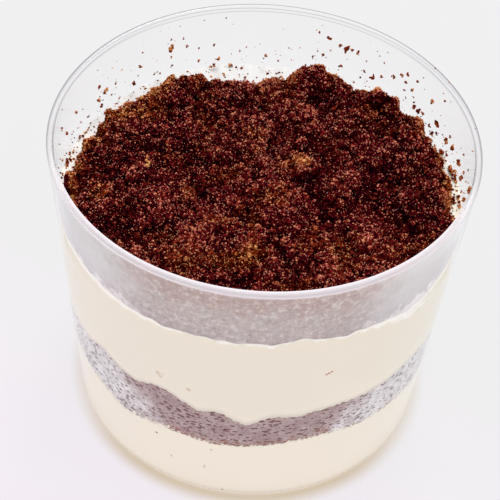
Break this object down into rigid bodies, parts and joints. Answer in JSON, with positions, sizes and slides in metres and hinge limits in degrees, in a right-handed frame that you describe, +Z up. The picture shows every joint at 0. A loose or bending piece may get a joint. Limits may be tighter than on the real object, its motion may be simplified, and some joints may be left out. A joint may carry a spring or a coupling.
{
  "type": "brownie cheesecake cup",
  "caption": "Clear tapered plastic cup holding layers of pale cheesecake cream and dark brownie crumb under a loose crumb heap; a chilled dessert that stands on its flat base.",
  "frame": {"origin": "centre of the cup's base, on the plane that it stands on", "axes": "+Z up through the mouth of the cup, -Y towards the side that the picture shows"},
  "size_m": [0.09, 0.09, 0.073],
  "materials": {
    "clear_plastic": "hard clear plastic with a faint haze, smooth and glossy",
    "cheesecake_cream": "smooth set cream, ivory, with a soft sheen",
    "brownie_crumb": "dry dark brown cake crumb, porous and uneven"
  },
  "bodies": {
    "root": {"cup": "clear_plastic", "lower_cream": "cheesecake_cream", "middle_crumbs": "brownie_crumb", "upper_cream": "cheesecake_cream", "crumb_topping": "brownie_crumb"}
  },
  "joints": []
}
